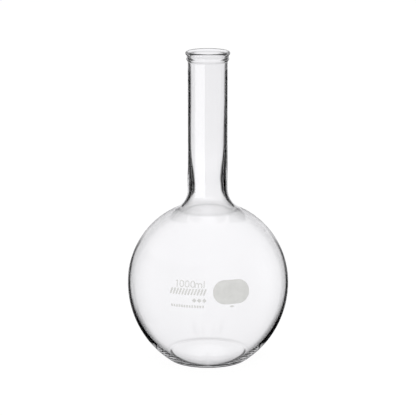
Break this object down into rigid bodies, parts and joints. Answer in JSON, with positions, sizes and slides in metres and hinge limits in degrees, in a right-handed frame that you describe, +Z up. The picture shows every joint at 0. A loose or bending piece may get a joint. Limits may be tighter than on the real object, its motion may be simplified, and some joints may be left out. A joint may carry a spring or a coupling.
{
  "type": "flat bottom boiling flask",
  "caption": "Clear glass boiling flask with a round bulb, a small flat foot, a long straight neck, a beaded rim and grey enamel markings.",
  "frame": {"origin": "centre of the foot, on the surface that the flask stands on", "axes": "+Z up along the flask's axis, towards the mouth; -Y is the marked front; +X is the side of the writing patch"},
  "size_m": [0.131, 0.1311, 0.2526],
  "materials": {
    "borosilicate_glass": "clear, fire polished",
    "grey_enamel": "matte fired enamel"
  },
  "bodies": {
    "root": {"flask_glass": "borosilicate_glass", "writing_patch": "grey_enamel", "patch_dot": "grey_enamel", "capacity_marking": "grey_enamel", "name_band": "grey_enamel", "grade_band": "grey_enamel", "origin_band": "grey_enamel"}
  },
  "joints": []
}
